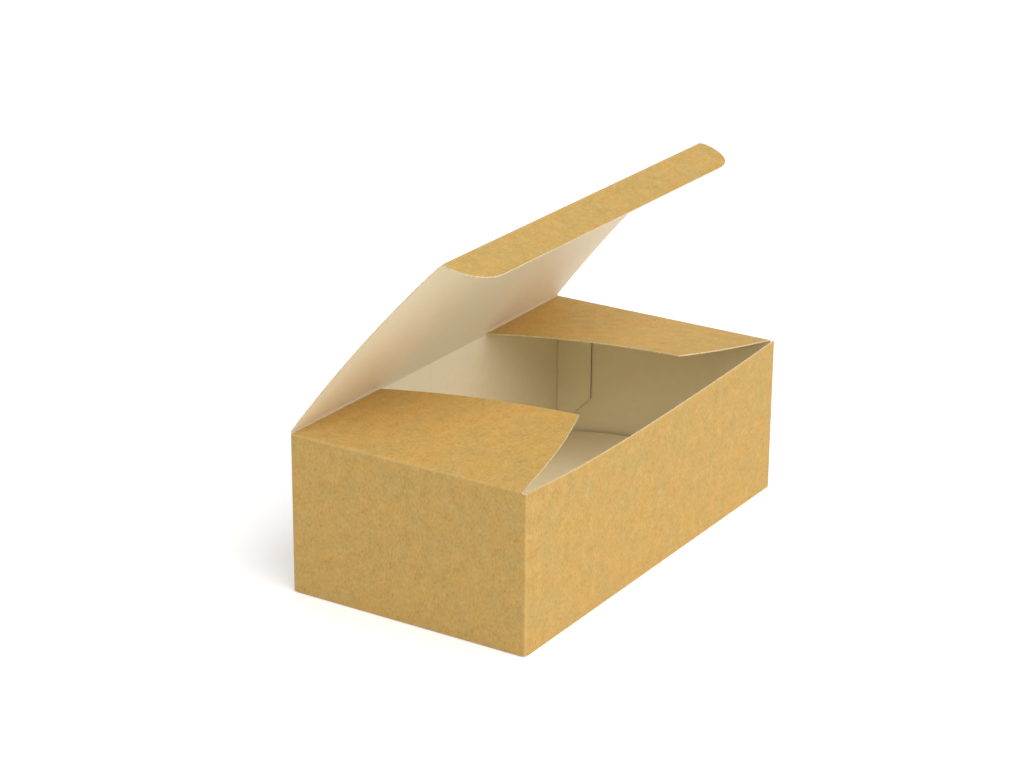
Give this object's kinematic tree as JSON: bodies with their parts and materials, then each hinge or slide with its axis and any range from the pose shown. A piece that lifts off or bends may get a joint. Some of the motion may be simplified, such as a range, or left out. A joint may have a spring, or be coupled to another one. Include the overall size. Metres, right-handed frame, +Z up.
{
  "type": "takeaway box",
  "caption": "Folding kraft board takeaway box with dust flaps, an automatic floor and a hinged lid that ends in a tuck flap.",
  "frame": {"origin": "middle of the box's footprint, on the surface that it stands on", "axes": "+X along the box's long side, +Y towards the wall that carries the lid, +Z up"},
  "size_m": [0.2, 0.1134, 0.15],
  "materials": {
    "kraft_board": "matt, white inside"
  },
  "bodies": {
    "carton": {"carton_body": "kraft_board"},
    "lid": {"lid_panel": "kraft_board"},
    "tuck": {"tuck_flap": "kraft_board"}
  },
  "joints": [
    {"name": "lid_fold", "type": "hinge", "parent": "carton", "child": "lid", "pos_m": [0, 0.0545, 0.068], "axis": [-1, 0, 0], "range_deg": [-44, 131]},
    {"name": "tuck_fold", "type": "hinge", "parent": "lid", "child": "tuck", "pos_m": [0, -0.01635, 0.14951], "axis": [-1, 0, 0], "range_deg": [-33, 63]}
  ]
}
